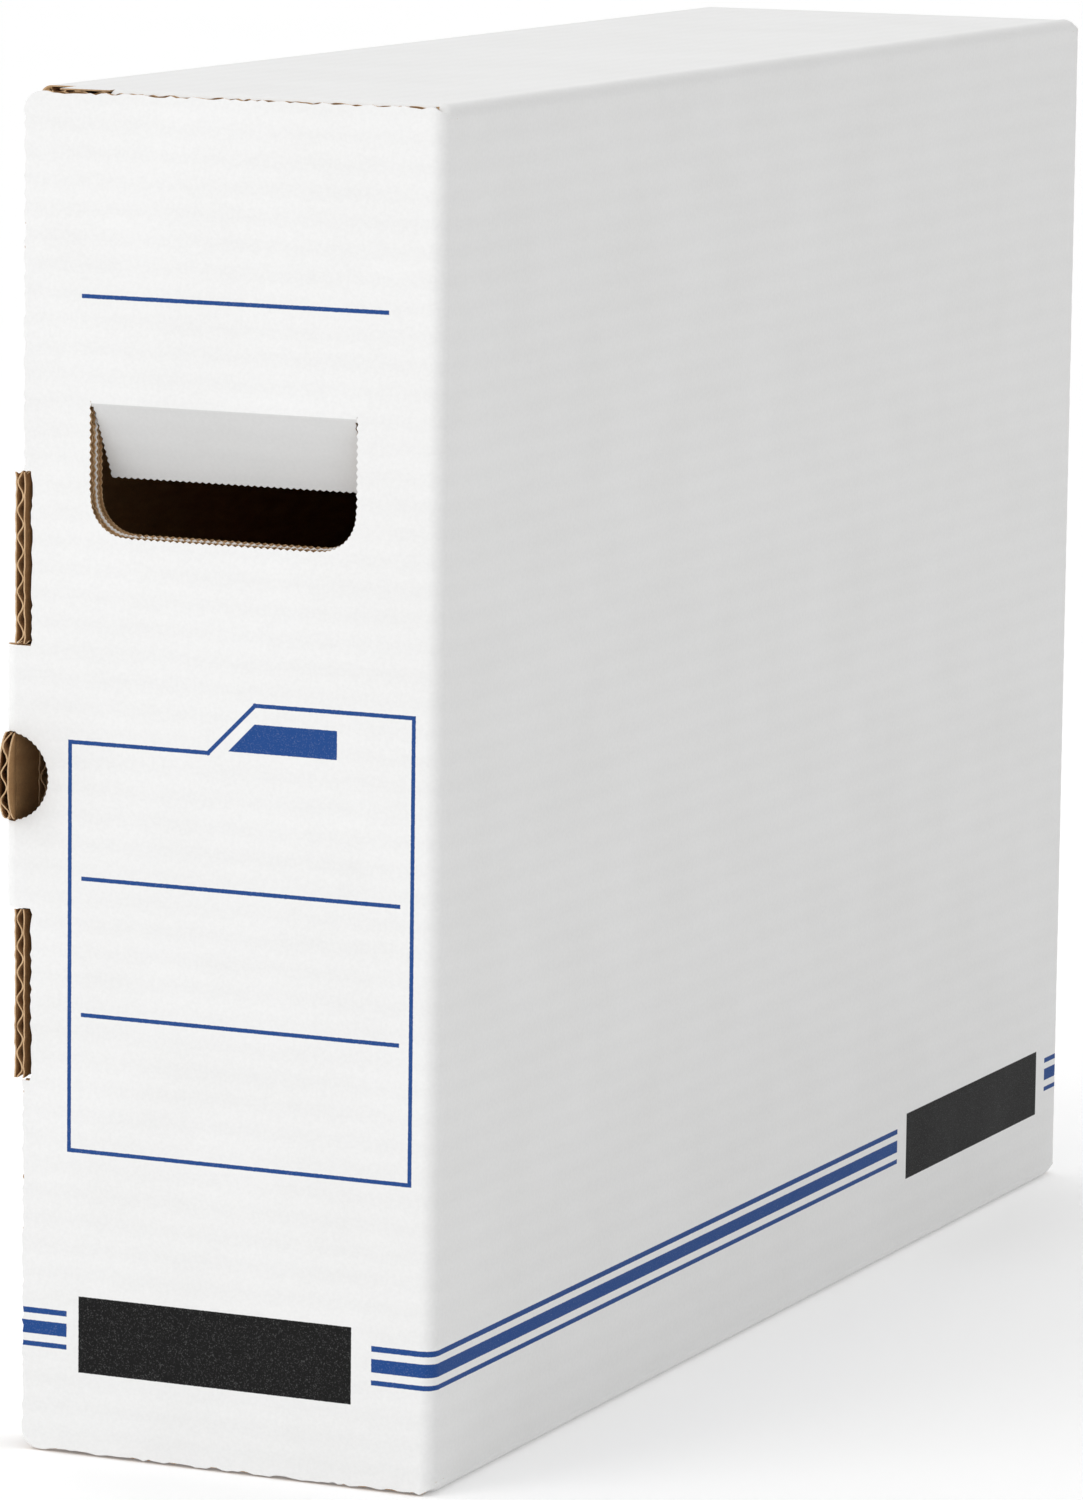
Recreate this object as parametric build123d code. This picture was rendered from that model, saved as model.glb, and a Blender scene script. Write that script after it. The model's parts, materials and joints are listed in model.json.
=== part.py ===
from build123d import *
from math import cos, radians, sin, sqrt, tan
import os

os.makedirs("parts", exist_ok=True)

# A corrugated-board file carton that stands on its long narrow side and opens at the front.
# It is folded from one die-cut sheet, so each board between two creases is a piece here.
# Frame: +Z up, front towards -Y, origin at the middle of the underside of the body.
# All sizes are in millimetres.

# ---------------------------------------------------------------- driving sizes
carton_width = 136.0        # over the two big sides
carton_depth = 515.0        # front face to back face
carton_height = 400.0       # underside to top
board = 3.2                 # thickness of the corrugated board
fold_radius = 4.0           # outer radius of every square fold
layer_gap = 0.4             # between boards that lie against each other
crease_gap = 0.3            # slit in the crease of a fold that moves
glue_gap = 0.1              # film of glue between two boards
edge_gap = 0.5              # end flaps stop this far short of the top and the underside
side_gap = 0.8              # inner flaps stop this far short of the big sides

# front flap
flap_inset = 2.8            # its free edge, in from the carton's left face
flap_corner = 6.0           # radius of its free corners

# ears of the left side and the cut-outs that they fill in the front flap
ear_height = 50.0
ear_gap = 0.5               # play above and below an ear
ear_reach = 0.3             # ears stop this far behind the front face
cutout_inset = 5.3          # a cut-out's far edge, in from the carton's left face
side_setback = 15.0         # front edge of the left side, behind the front face

# lock tab, folded round the left side, and the half-moon that is a thumb grip
tab_height = 77.2
tab_length = 42.0
tab_corner = 9.0
tab_gap = 0.3               # between the tab and the left side
thumb_radius = 13.2         # half-round cut in the front flap at the tab's fold
moon_half_height = 12.6
moon_reach = 11.6           # it stands this far forward of its root
moon_root = 2.0             # its root, behind the front face
moon_lean = 17.0            # degrees that it leans in over the front flap

# handle
handle_width = 85.0
handle_height = 39.2
handle_drop = 89.0          # crease of the handle flap, below the carton's top
handle_shift = -1.0         # middle of the hole, from the middle of the carton
handle_corner = 11.5
handle_flap_length = 23.5
handle_flap_taper = 1.0     # each side closes in by this towards the free edge
handle_flap_gap = 0.9
handle_flap_rest = 25.0     # degrees that it is pushed in
inner_hole_step = 0.4       # the inner board's hole is narrower by this at each side
inner_hole_lift = 1.5       # and taller by this at its top

# inner flaps at the front, folded down from the top and up from the bottom
top_flap_length = 150.0
bottom_flap_length = 100.0
inner_flap_corner = 8.0
shoulder_width = 28.0       # their folds start this far in from the left face
shoulder_drop = 20.0        # slope of the relief beside the fold
shoulder_setback = 1.0      # raw front edge beside the fold, behind the fold's face
corner_width = 12.0         # the tube's left corner folds reach this far in
slot_depth = 8.0            # slots beside the upright folds
slot_drop = 4.2

# back end and the glued lap that closes the tube
back_gap = 1.4              # the outer flap stops this far short of the top and the underside
back_flap_length = 100.0
lap_width = 35.0
lap_slope = 12.0

# ---------------------------------------------------------------- worked out
left = -carton_width / 2
right = carton_width / 2
front = -carton_depth / 2
back = carton_depth / 2
top = carton_height
middle = carton_height / 2
second_layer = board + layer_gap
third_layer = 2 * second_layer
tab_face = left - tab_gap - board
inner_front = front + second_layer
inner_left = left + board + side_gap
inner_right = right - board - side_gap
lap_face = left + board + glue_gap
lap_clear = lap_face + board + side_gap
crease_height = top - handle_drop
cutout_height = ear_height + 2 * ear_gap
cutout_middle = tab_height / 2 + cutout_height / 2
beyond = 1.0                # cutters overshoot by this
reach = carton_width + carton_depth + carton_height

X = Vector(1, 0, 0)
Y = Vector(0, 1, 0)
Z = Vector(0, 0, 1)
upside_down = Plane.XY.offset(middle)


# ---------------------------------------------------------------- helpers
def block(x0, x1, y0, y1, z0, z1):
    """A plain box between two corners."""
    centre = Pos((x0 + x1) / 2, (y0 + y1) / 2, (z0 + z1) / 2)
    return centre * Box(x1 - x0, y1 - y0, z1 - z0)


def spandrel(radius):
    """What a square corner at (0, 0) loses when it is rounded."""
    side = radius + beyond
    place = (radius - beyond) / 2
    return Pos(place, place) * Rectangle(side, side) - Pos(radius, radius) * Circle(radius)


def along(corner, first, second, sketch):
    """A sketch stood at a corner and drawn out both ways along the corner's edge."""
    plane = Plane(origin=corner, x_dir=first, z_dir=first.cross(second))
    return extrude(plane * sketch, amount=reach, both=True)


def fold(corner, into, inward, slit=0.0):
    """What a board loses at a square fold: its mitre and the outer rounding."""
    lip = slit / sqrt(2)
    mitre = Polygon(
        (-beyond, -beyond),
        (lip - beyond, -beyond),
        (lip + board + beyond, board + beyond),
        (-beyond, board + beyond),
        align=None,
    )
    return along(corner, into, inward, spandrel(fold_radius) + mitre)


def rounded(corner, first, second, radius):
    """What a board loses at a rounded free corner."""
    return along(corner, first, second, spandrel(radius))


def through(points):
    """A cutter with an outline in X and Z, along the whole depth."""
    return extrude(Plane.XZ * Polygon(*points, align=None), amount=reach, both=True)


def handle_hole(step, lift):
    """The handle hole: square at its top, rounded at its bottom corners."""
    low = crease_height - handle_height + step
    high = crease_height + lift
    outline = Rectangle(handle_width - 2 * step, high - low)
    outline = fillet(outline.vertices().group_by(Axis.Y)[0], handle_corner)
    hole = Pos(handle_shift, (low + high) / 2) * outline
    return extrude(Plane.XZ * hole, amount=reach, both=True)


# ---------------------------------------------------------------- tube
def right_side():
    body = block(right - board, right, front, back, 0, top)
    body -= fold(Vector(right, front, 0), Y, -X, crease_gap)
    body -= fold(Vector(right, back, 0), -Y, -X)
    body -= fold(Vector(right, 0, 0), Z, -X)
    body -= fold(Vector(right, 0, top), -Z, -X)
    slot = Polygon(
        (front - beyond, top - edge_gap),
        (front + slot_depth, top - slot_drop),
        (front + slot_depth, top + beyond),
        (front - beyond, top + beyond),
        align=None,
    )
    slot = extrude(Plane.YZ * slot, amount=reach, both=True)
    far_slot = mirror(slot, about=Plane.XZ)
    for cut in (slot, far_slot):
        body -= cut
        body -= mirror(cut, about=upside_down)
    return body


def left_side():
    end = back - second_layer
    body = block(left, left + board, front + side_setback, end, glue_gap, top)
    body -= fold(Vector(left, 0, top), -Z, X)
    body -= fold(Vector(left, end, 0), -Y, X)
    body -= block(left - beyond, left + slot_depth, end - slot_depth, back, top - slot_drop, reach)
    for place in (middle - cutout_middle, middle + cutout_middle):
        low = place - ear_height / 2
        ear_back = front + side_setback + beyond
        body += block(left, left + board, front + ear_reach, ear_back, low, low + ear_height)
    return body


def narrow_side(left_face):
    """Top of the tube: mitred to both big sides, folded at each end to an end flap."""
    near = inner_front
    far = back - third_layer
    body = block(left_face, right, near, far, top - board, top)
    body -= fold(Vector(left_face, 0, top), X, -Z)
    body -= fold(Vector(right, 0, top), -X, -Z)
    body -= fold(Vector(0, far, top), -Y, -Z)
    fold_start = left + shoulder_width
    folded = block(fold_start, right + beyond, front, inner_front + reach, 0, top + beyond)
    body -= fold(Vector(0, near, top), Y, -Z, crease_gap) & folded
    raw_edge = near + shoulder_setback
    body -= block(left - beyond, fold_start, front, raw_edge, 0, top + beyond)
    corner_end = left + corner_width
    body -= block(left - beyond, corner_end, front, front + side_setback, 0, top + beyond)
    slot = block(inner_right, right + beyond, front, front + slot_depth, 0, top + beyond)
    body -= slot
    return body


def glued_lap():
    near = front + side_setback
    far = back - third_layer
    body = block(lap_face, lap_face + board, near, far, 0, lap_width)
    body -= fold(Vector(lap_face, 0, 0), Z, X)
    slope = Polygon(
        (near - beyond, lap_width / 2),
        (near, lap_width / 2),
        (near + lap_slope, lap_width),
        (near + lap_slope, lap_width + beyond),
        (near - beyond, lap_width + beyond),
        align=None,
    )
    slope = extrude(Plane.YZ * slope, amount=reach, both=True)
    shift = Pos(0, near + far, 0)
    body -= slope
    body -= shift * mirror(slope, about=Plane.XZ)
    return body


# ---------------------------------------------------------------- front closure
def front_flap():
    low = edge_gap
    high = top - edge_gap
    body = block(tab_face, right, front, front + board, low, high)
    body -= fold(Vector(tab_face, front, 0), X, Y, crease_gap)
    body -= fold(Vector(right, front, 0), -X, Y, crease_gap)
    free_edge = left + flap_inset
    for side in (-1, 1):
        near_tab = middle + side * tab_height / 2
        past_end = middle + side * carton_height
        cut_low, cut_high = sorted((near_tab, past_end))
        body -= block(tab_face - beyond, free_edge, front - beyond, 0, cut_low, cut_high)
        ear = middle + side * cutout_middle
        cut_low, cut_high = ear - cutout_height / 2, ear + cutout_height / 2
        edge = left + cutout_inset
        body -= block(tab_face - beyond, edge, front - beyond, 0, cut_low, cut_high)
    body -= rounded(Vector(free_edge, 0, low), X, Z, flap_corner)
    body -= rounded(Vector(free_edge, 0, high), X, -Z, flap_corner)
    thumb = Pos(tab_face + board / 2, middle) * Circle(thumb_radius)
    body -= extrude(Plane.XZ * thumb, amount=reach, both=True)
    body -= handle_hole(0, 0)
    return body


def half_moon():
    """The half-round end of the tab: the tab's own board, bent in at its root."""
    lean = radians(moon_lean)
    ahead = Vector(sin(lean), -cos(lean), 0) * 2 * moon_reach
    outward = Vector(-cos(lean), -sin(lean), 0) * board
    root = front + moon_root
    inner = Vector(tab_face + board, root, 0)
    outer = Vector(tab_face, root - board * tan(lean / 2), 0)
    sunk = Vector(0, moon_root, 0)
    bend = [inner + sunk, inner, inner + ahead, inner + ahead + outward, outer]
    bend.append(Vector(tab_face, root + moon_root, 0))
    section = Polygon(*[(p.X, p.Y) for p in bend], align=None)
    strip = extrude(section, amount=reach, both=True)
    round_end = Pos(root, middle) * Ellipse(moon_reach, moon_half_height)
    base = Pos(root + moon_root, middle) * Rectangle(2 * moon_root, 2 * moon_half_height)
    outline = round_end + base
    return strip & extrude(Plane.YZ * outline, amount=reach, both=True)


def lock_tab():
    low = middle - tab_height / 2
    high = middle + tab_height / 2
    end = front + tab_length
    body = block(tab_face, tab_face + board, front, end, low, high)
    body -= fold(Vector(tab_face, front, 0), Y, X, crease_gap)
    body -= rounded(Vector(0, end, low), -Y, Z, tab_corner)
    body -= rounded(Vector(0, end, high), -Y, -Z, tab_corner)
    thumb_low = middle - thumb_radius
    thumb_high = middle + thumb_radius
    root = front + moon_root
    body -= block(tab_face - beyond, left + board, front - beyond, root, thumb_low, thumb_high)
    body += half_moon()
    return body


def handle_flap():
    """Half of the handle's cut-out that stays on its crease; built flush, then pushed in."""
    half = handle_width / 2 - handle_flap_gap
    free_half = half - handle_flap_taper
    high = crease_height - crease_gap
    low = high - handle_flap_length
    outline = Polygon(
        (handle_shift - half, high),
        (handle_shift + half, high),
        (handle_shift + free_half, low),
        (handle_shift - free_half, low),
        align=None,
    )
    plane = Plane(origin=(0, front + board / 2, 0), x_dir=X, z_dir=-Y)
    body = extrude(plane * outline, amount=board / 2, both=True)
    crease = Axis((0, front + board, crease_height), (1, 0, 0))
    return body.rotate(crease, handle_flap_rest)


def inner_flap(start, length):
    """Flap folded down from the top, behind the front flap."""
    low = top - length
    body = block(start, inner_right, inner_front, inner_front + board, low, top)
    body -= fold(Vector(0, inner_front, top), -Z, Y, crease_gap)
    body -= rounded(Vector(start, 0, low), X, Z, inner_flap_corner)
    body -= rounded(Vector(inner_right, 0, low), -X, Z, inner_flap_corner)
    fold_start = left + shoulder_width + crease_gap
    body -= through((
        (left, top + beyond),
        (fold_start, top + beyond),
        (fold_start, top - board - beyond),
        (start, top - shoulder_drop),
        (left, top - shoulder_drop),
    ))
    return body


# ---------------------------------------------------------------- back closure
def back_outer_flap():
    free_edge = left + flap_inset
    low = back_gap
    high = top - back_gap
    body = block(free_edge, right, back - board, back, low, high)
    body -= fold(Vector(right, back, 0), -X, -Y)
    body -= rounded(Vector(free_edge, 0, low), X, Z, flap_corner)
    body -= rounded(Vector(free_edge, 0, high), X, -Z, flap_corner)
    return body


def back_inner_flap():
    face = back - second_layer
    low = slot_drop
    high = top - slot_drop
    body = block(left, inner_right, face - board, face, low, high)
    body -= fold(Vector(left, face, 0), X, -Y)
    body -= rounded(Vector(inner_right, 0, low), -X, Z, inner_flap_corner)
    body -= rounded(Vector(inner_right, 0, high), -X, -Z, inner_flap_corner)
    return body


def back_end_flap():
    """Innermost flap of the back, folded down from the top."""
    face = back - third_layer
    low = top - back_flap_length
    body = block(lap_clear, inner_right, face - board, face, low, top)
    body -= fold(Vector(0, face, top), -Z, -Y)
    body -= rounded(Vector(lap_clear, 0, low), X, Z, inner_flap_corner)
    body -= rounded(Vector(inner_right, 0, low), -X, Z, inner_flap_corner)
    return body


# ---------------------------------------------------------------- the carton
top_inner = inner_flap(inner_left, top_flap_length)
top_inner -= handle_hole(inner_hole_step, inner_hole_lift)
bottom_inner = mirror(inner_flap(lap_clear, bottom_flap_length), about=upside_down)
pieces = {
    "right_side": right_side(),
    "left_side": left_side(),
    "top_side": narrow_side(left),
    "bottom_side": mirror(narrow_side(lap_face), about=upside_down),
    "glued_lap": glued_lap(),
    "front_flap": front_flap(),
    "lock_tab": lock_tab(),
    "handle_flap": handle_flap(),
    "top_inner_flap": top_inner,
    "bottom_inner_flap": bottom_inner,
    "back_outer_flap": back_outer_flap(),
    "back_inner_flap": back_inner_flap(),
    "back_top_flap": back_end_flap(),
    "back_bottom_flap": mirror(back_end_flap(), about=upside_down),
}

for name, piece in pieces.items():
    export_step(piece, os.path.join("parts", name + ".step"))
    box = piece.bounding_box()
    print(f"{name:18s} solids {len(piece.solids())}  volume {piece.volume:10.1f}  "
          f"x {box.min.X:8.2f} {box.max.X:8.2f}  y {box.min.Y:8.2f} {box.max.Y:8.2f}  "
          f"z {box.min.Z:8.2f} {box.max.Z:8.2f}")
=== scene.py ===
# %% [markdown]
# # A corrugated file carton
# A file carton is one sheet of corrugated board, cut by a die, creased and folded. It stands on
# a long narrow side and opens at the front. We start from the CAD model, which says where every
# board lies, and rebuild each board the way a board plant makes it: a smooth white liner, a
# wavy middle paper and a brown liner. The CAD boards stay hidden behind them.
# %% Load the CAD model
import json
from math import cos, hypot, pi, radians, sin, sqrt
from random import Random

import bmesh
import bpy
from mathutils import Matrix, Vector
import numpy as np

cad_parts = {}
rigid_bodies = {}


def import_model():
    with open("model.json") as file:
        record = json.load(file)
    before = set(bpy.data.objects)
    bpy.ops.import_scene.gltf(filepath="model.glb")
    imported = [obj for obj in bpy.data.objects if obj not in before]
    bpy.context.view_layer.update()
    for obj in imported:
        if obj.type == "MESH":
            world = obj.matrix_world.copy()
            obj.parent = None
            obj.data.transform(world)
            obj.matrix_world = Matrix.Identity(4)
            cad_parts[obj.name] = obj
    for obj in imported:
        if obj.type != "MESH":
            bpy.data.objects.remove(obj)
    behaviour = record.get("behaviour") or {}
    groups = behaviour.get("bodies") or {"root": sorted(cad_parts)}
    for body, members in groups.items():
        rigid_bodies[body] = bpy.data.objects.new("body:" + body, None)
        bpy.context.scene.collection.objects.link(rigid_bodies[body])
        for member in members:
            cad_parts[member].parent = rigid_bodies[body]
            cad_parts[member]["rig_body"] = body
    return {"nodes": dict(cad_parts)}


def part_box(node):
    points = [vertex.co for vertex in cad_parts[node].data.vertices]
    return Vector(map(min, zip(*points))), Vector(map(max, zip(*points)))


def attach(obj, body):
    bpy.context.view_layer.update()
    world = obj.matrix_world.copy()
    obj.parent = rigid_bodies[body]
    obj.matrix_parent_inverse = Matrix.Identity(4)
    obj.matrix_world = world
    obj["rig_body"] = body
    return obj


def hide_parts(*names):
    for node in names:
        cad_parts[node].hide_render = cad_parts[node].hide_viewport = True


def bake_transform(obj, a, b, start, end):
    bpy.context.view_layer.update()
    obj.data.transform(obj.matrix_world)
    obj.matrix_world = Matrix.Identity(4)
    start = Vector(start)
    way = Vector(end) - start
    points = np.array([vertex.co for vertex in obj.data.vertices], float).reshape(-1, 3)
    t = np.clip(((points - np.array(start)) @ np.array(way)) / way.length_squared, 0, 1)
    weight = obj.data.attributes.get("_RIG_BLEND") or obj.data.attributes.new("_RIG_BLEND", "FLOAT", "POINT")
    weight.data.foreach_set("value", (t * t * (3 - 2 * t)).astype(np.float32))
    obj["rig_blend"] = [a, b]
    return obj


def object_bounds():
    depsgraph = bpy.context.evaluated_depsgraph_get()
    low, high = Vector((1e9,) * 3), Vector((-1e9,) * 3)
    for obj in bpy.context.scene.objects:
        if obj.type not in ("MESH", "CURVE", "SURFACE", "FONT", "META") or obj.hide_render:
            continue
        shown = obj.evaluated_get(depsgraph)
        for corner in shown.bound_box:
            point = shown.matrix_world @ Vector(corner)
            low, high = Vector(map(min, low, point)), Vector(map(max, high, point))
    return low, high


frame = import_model()
cad_low, cad_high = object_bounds()
print("CAD box", [round(v, 4) for v in cad_low], [round(v, 4) for v in cad_high])

# %% [markdown]
# ## Sizes
# The places come from the CAD boards themselves. What a board plant adds, such as the flutes
# and the papers, is named here once, in metres. C-flute board has waves 8 mm apart. A perforating
# rule leaves small even teeth in an edge, and handling leaves small uneven steps.
# %% Sizes of the board and places of the carton
MM = 0.001
X, Y, Z = Vector((1, 0, 0)), Vector((0, 1, 0)), Vector((0, 0, 1))
FLUTE_PITCH = 8.0 * MM
LINER = 0.42 * MM
MIDDLE_PAPER = 0.46 * MM
WAVE_STEPS = 14
TOOTH = 2.1 * MM
TOOTH_DEPTH = 0.56 * MM
WORN_STEP = 1.7 * MM
WORN_DEPTH = 0.75 * MM

front_low, front_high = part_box("front_flap")
tab_low, tab_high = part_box("lock_tab")
BOARD = front_high.y - front_low.y
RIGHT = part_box("right_side")[1].x
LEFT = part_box("left_side")[0].x
FRONT = front_low.y
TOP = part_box("top_side")[1].z
TAB_FACE = min(v.co.x for v in frame["nodes"]["lock_tab"].data.vertices)
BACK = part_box("back_outer_flap")[1].y
FOLD = 4.0 * MM
print("board", round(BOARD / MM, 2), "mm, carton",
      [round(v / MM, 1) for v in (RIGHT - LEFT, BACK - FRONT, TOP)])

# %% [markdown]
# ## The camera
# The carton fills the picture, seen from its front right and slightly from above. A long lens
# a good two metres away keeps its upright edges nearly upright. We set the camera by its
# position and its three axes, which leaves no doubt about the roll.
# %% Camera
CAMERA_AT = Vector((0.9775, -2.2290, 0.5491))
AZIMUTH, ELEVATION, ROLL = radians(24.0), radians(8.67), radians(0.70)
FOCAL_LENGTH = 186.024
SENSOR = 36

looking = Vector((-sin(AZIMUTH) * cos(ELEVATION), cos(AZIMUTH) * cos(ELEVATION), -sin(ELEVATION)))
level = Vector((cos(AZIMUTH), sin(AZIMUTH), 0))
upright = level.cross(looking)
across = cos(ROLL) * level + sin(ROLL) * upright
above = cos(ROLL) * upright - sin(ROLL) * level

lens = bpy.data.cameras.new("camera")
lens.lens = FOCAL_LENGTH
lens.sensor_width = SENSOR
lens.clip_start, lens.clip_end = 0.05, 60
camera = bpy.data.objects.new("camera", lens)
axes = Matrix((across, above, -looking)).transposed().to_4x4()
camera.matrix_world = Matrix.Translation(CAMERA_AT) @ axes
bpy.context.scene.collection.objects.link(camera)
bpy.context.scene.camera = camera
print("camera", round(FOCAL_LENGTH, 1), "mm lens,", round(CAMERA_AT.length, 2), "m away")

# %% [markdown]
# ## Node helpers
# Materials and Geometry Nodes are both built from nodes. Three small helpers keep that short:
# one adds a node and fills its inputs, the other two do arithmetic on numbers and on vectors.
# %% Helpers that add nodes


def add(tree, kind, inputs=None, **settings):
    """A node with its settings. An input takes a socket, which is linked, or a plain value."""
    node = tree.nodes.new(kind)
    for name, value in settings.items():
        setattr(node, name, value)
    for name, value in (inputs or {}).items():
        if isinstance(value, bpy.types.NodeSocket):
            tree.links.new(value, node.inputs[name])
        else:
            node.inputs[name].default_value = value
    return node


def calc(tree, operation, *terms, clamp=False):
    """Arithmetic on numbers."""
    inputs = dict(enumerate(terms))
    return add(tree, "ShaderNodeMath", inputs, operation=operation, use_clamp=clamp).outputs[0]


def vector_calc(tree, operation, *terms):
    """Arithmetic on vectors. A scale's factor is given last."""
    inputs = dict(enumerate(terms))
    if operation == "SCALE":
        inputs = {0: terms[0], "Scale": terms[1]}
    node = add(tree, "ShaderNodeVectorMath", inputs, operation=operation)
    return node.outputs["Value" if operation == "DOT_PRODUCT" else "Vector"]


print("three node helpers ready")

# %% [markdown]
# ## Ink
# The print is flat blue line work on the white liner. It could be thin decals or an image, but
# a rule is sharper: a stroke is where a point's distance along and across a line are both in
# range. The edge of each stroke is made a little ragged, as rubber printing plates leave it.
# %% Print: strokes and blocks as masks
INK_EDGE = 0.16 * MM


def between(tree, value, low, high):
    """1 where value lies between low and high, with a soft edge."""
    rise = calc(tree, "MULTIPLY_ADD", value, 1 / INK_EDGE, 0.5 - low / INK_EDGE, clamp=True)
    fall = calc(tree, "MULTIPLY_ADD", value, -1 / INK_EDGE, 0.5 + high / INK_EDGE, clamp=True)
    return calc(tree, "MULTIPLY", rise, fall)


def stroke(tree, point, start, end, width):
    """A straight stroke between two points of the front face, given as (x, z)."""
    run = Vector((end[0] - start[0], 0, end[1] - start[1]))
    length = run.length
    run.normalize()
    side = Vector((-run.z, 0, run.x))
    origin = Vector((start[0], 0, start[1]))
    along = vector_calc(tree, "DOT_PRODUCT", point, run)
    off = vector_calc(tree, "DOT_PRODUCT", point, side)
    a, b = run.dot(origin), side.dot(origin)
    ends = between(tree, along, a - width / 2, a + length + width / 2)
    return calc(tree, "MULTIPLY", ends, between(tree, off, b - width / 2, b + width / 2))


def most(tree, masks):
    """The largest of several masks."""
    total = masks[0]
    for mask in masks[1:]:
        total = calc(tree, "MAXIMUM", total, mask)
    return total


# %% [markdown]
# The label frame is one outline with a raised tab at its right, like a folder's. Sizes are in
# millimetres: along the front from the carton's left face, along a big side from the front, and
# up from the ground.
# %% Where the print lies
LINE = 1.25
FRAME_POINTS = [(18.3, 91.0), (128.0, 91.0), (128.0, 226.2),
                (77.8, 226.2), (62.9, 211.5), (18.3, 211.5)]
RULES = [(22.3, 118.5, 341.1), (22.7, 123.7, 171.6), (22.7, 123.7, 131.4)]
STRIPES = [(41.1, 42.8), (35.0, 39.0), (31.2, 32.7)]
TAB_BLOCK = (69.3, 103.9, 212.4, 220.8)
FRONT_BLOCK = (21.6, 110.0, 24.8, 47.6)
FRONT_GAP = (17.7, 116.4)
SIDE_BLOCK = (371.0, 493.0, 24.5, 46.5)
SIDE_GAP = (363.0, 501.0)


def on_front(x):
    """A distance from the carton's left face as a place in the frame."""
    return LEFT + x * MM


def from_front(y):
    """A distance behind the front face as a place in the frame."""
    return FRONT + y * MM


def line_work(tree, point):
    """The label frame, its tab and the writing lines of the front face."""
    masks = []
    corners = FRAME_POINTS + FRAME_POINTS[:1]
    for (x0, z0), (x1, z1) in zip(corners, corners[1:]):
        start, end = (on_front(x0), z0 * MM), (on_front(x1), z1 * MM)
        masks.append(stroke(tree, point, start, end, LINE * MM))
    for x0, x1, z in RULES:
        start, end = (on_front(x0), z * MM), (on_front(x1), z * MM)
        masks.append(stroke(tree, point, start, end, LINE * MM))
    x0, x1, z0, z1 = TAB_BLOCK
    parts = add(tree, "ShaderNodeSeparateXYZ", {0: point})
    slope = calc(tree, "SUBTRACT", parts.outputs["X"], parts.outputs["Z"])
    block = calc(tree, "MULTIPLY", between(tree, parts.outputs["Z"], z0 * MM, z1 * MM),
                 between(tree, parts.outputs["X"], on_front(x0 - 1), on_front(x1)))
    slanted = between(tree, slope, on_front(x0) - z0 * MM, 1)
    masks.append(calc(tree, "MULTIPLY", block, slanted))
    return most(tree, masks)


def stripes(tree, point):
    """Three stripes round the carton, with a gap on the front and on each big side."""
    parts = add(tree, "ShaderNodeSeparateXYZ", {0: point})
    x, y, z = parts.outputs
    bands = most(tree, [between(tree, z, low * MM, high * MM) for low, high in STRIPES])
    front_gap = between(tree, x, on_front(FRONT_GAP[0]), on_front(FRONT_GAP[1]))
    front_gap = calc(tree, "MULTIPLY", front_gap, between(tree, y, FRONT - 1, FRONT + 1 * MM))
    side_gap = between(tree, y, from_front(SIDE_GAP[0]), from_front(SIDE_GAP[1]))
    gaps = calc(tree, "MAXIMUM", front_gap, side_gap)
    return calc(tree, "MULTIPLY", bands, calc(tree, "SUBTRACT", 1.0, gaps))


def plain_blocks(tree, point):
    """A plain dark block in each gap of the stripes."""
    parts = add(tree, "ShaderNodeSeparateXYZ", {0: point})
    x, y, z = parts.outputs
    masks = []
    places = ((x, on_front, FRONT_BLOCK), (y, from_front, SIDE_BLOCK))
    for value, place, (low, high, z0, z1) in places:
        wide = between(tree, value, place(low), place(high))
        masks.append(calc(tree, "MULTIPLY", wide, between(tree, z, z0 * MM, z1 * MM)))
    on_face = between(tree, y, FRONT - 1, FRONT + 1 * MM)
    masks[0] = calc(tree, "MULTIPLY", masks[0], on_face)
    return most(tree, masks)


print(len(FRAME_POINTS), "frame corners,", len(RULES), "writing lines,", len(STRIPES), "stripes")

# %% [markdown]
# ## The white liner
# The outside paper is bleached and matt, never quite even: long fibres, a faint cloudiness and
# the washboard, which is the ridge that every flute leaves in the liner glued over it. Colour,
# roughness and bump all come from the same few patterns, so that they agree with each other.
# The washboard needs to know which way the flutes lie, so each piece carries an attribute,
# "across", that measures its distance across the flutes. The hand flap's liner is painted
# greyer: painted shade, for the shadow that the pushed-in flap lies in.
# %% White liner material
WHITE = (0.828, 0.828, 0.824, 1)
CLOUD = (0.796, 0.795, 0.788, 1)
BLUE_INK = (0.0165, 0.066, 0.245, 1)
DARK_INK = (0.0085, 0.0085, 0.0085, 1)
WASHBOARD = 0.015 * MM


def new_material(name):
    """An empty material with its shader, which reads the piece's own coordinates."""
    made = bpy.data.materials.new(name)
    made.use_nodes = True
    tree = made.node_tree
    tree.nodes.clear()
    shader = add(tree, "ShaderNodeBsdfPrincipled")
    output = add(tree, "ShaderNodeOutputMaterial")
    tree.links.new(shader.outputs[0], output.inputs["Surface"])
    point = add(tree, "ShaderNodeTexCoord").outputs["Object"]
    return made, tree, shader, point


def noise(tree, point, scale, detail=3.0, roughness=0.55, stretch=None):
    """Noise of about one bump every 1 / scale metres, stretched if asked."""
    if stretch:
        point = vector_calc(tree, "MULTIPLY", point, Vector(stretch))
    inputs = {"Vector": point, "Scale": scale, "Detail": detail, "Roughness": roughness}
    return add(tree, "ShaderNodeTexNoise", inputs).outputs[0]


def blend_colour(tree, factor, first, second):
    """A mix of two colours."""
    node = add(tree, "ShaderNodeMix", data_type="RGBA")
    for socket, value in ((node.inputs[0], factor), (node.inputs[6], first), (node.inputs[7], second)):
        if isinstance(value, bpy.types.NodeSocket):
            tree.links.new(value, socket)
        else:
            socket.default_value = value
    return node.outputs[2]


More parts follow.
